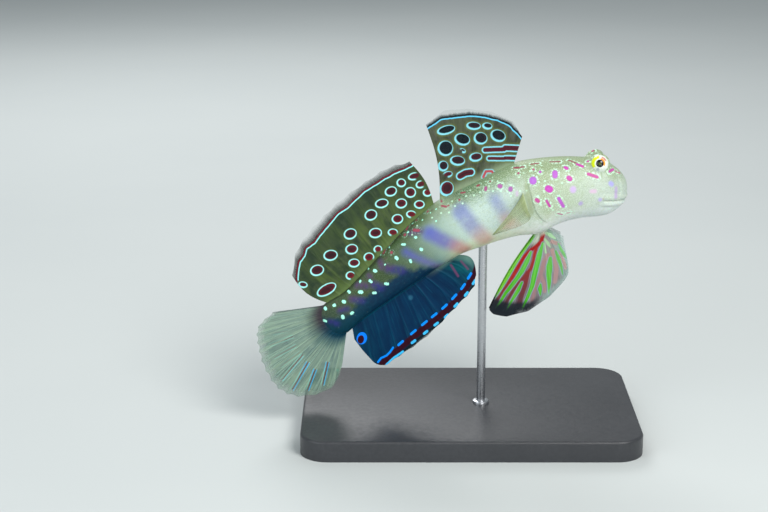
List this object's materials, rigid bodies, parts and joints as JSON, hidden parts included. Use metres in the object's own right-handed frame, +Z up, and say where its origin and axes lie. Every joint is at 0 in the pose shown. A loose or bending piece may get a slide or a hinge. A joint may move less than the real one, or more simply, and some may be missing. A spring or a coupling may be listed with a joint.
{
  "type": "shrimp goby display model",
  "caption": "Life-size swimming shrimp goby with raised spotted fins, held over a flat base by a short rod.",
  "frame": {"origin": "centre of the underside of the stand's base, on the surface it rests on", "axes": "+Z up, +X towards the fish's snout, -Y towards the fish's right side"},
  "size_m": [0.1089, 0.062, 0.0932],
  "materials": {
    "head_skin": "pale grey-green skin with magenta and dark red spots",
    "body_skin": "olive back, pale belly and soft violet bars, smooth skin with fine scales",
    "eye": "glossy eye, black pupil in a white, yellow-green and orange ring",
    "dorsal_fins": "translucent olive membrane with ringed dark spots and a bright blue line",
    "anal_fin": "deep blue membrane with bright blue dashes by a dark edge band",
    "caudal_fin": "translucent grey-green membrane with pale rays",
    "pectoral_fins": "clear olive membrane with fine rays",
    "pelvic_fins": "lime green with branching red stripes and black tips",
    "stand_base": "satin dark grey",
    "stand_rod": "brushed steel"
  },
  "bodies": {
    "root": {"head": "head_skin", "gill_cover_left": "head_skin", "gill_cover_right": "head_skin", "trunk": "body_skin", "tail_stem": "body_skin", "eye_left": "eye", "eye_right": "eye", "dorsal_fin_first": "dorsal_fins", "dorsal_fin_second": "dorsal_fins", "anal_fin": "anal_fin", "caudal_fin": "caudal_fin", "pectoral_fin_left": "pectoral_fins", "pectoral_fin_right": "pectoral_fins", "pelvic_fin_left": "pelvic_fins", "pelvic_fin_right": "pelvic_fins", "stand_base": "stand_base", "stand_rod": "stand_rod"}
  },
  "joints": []
}
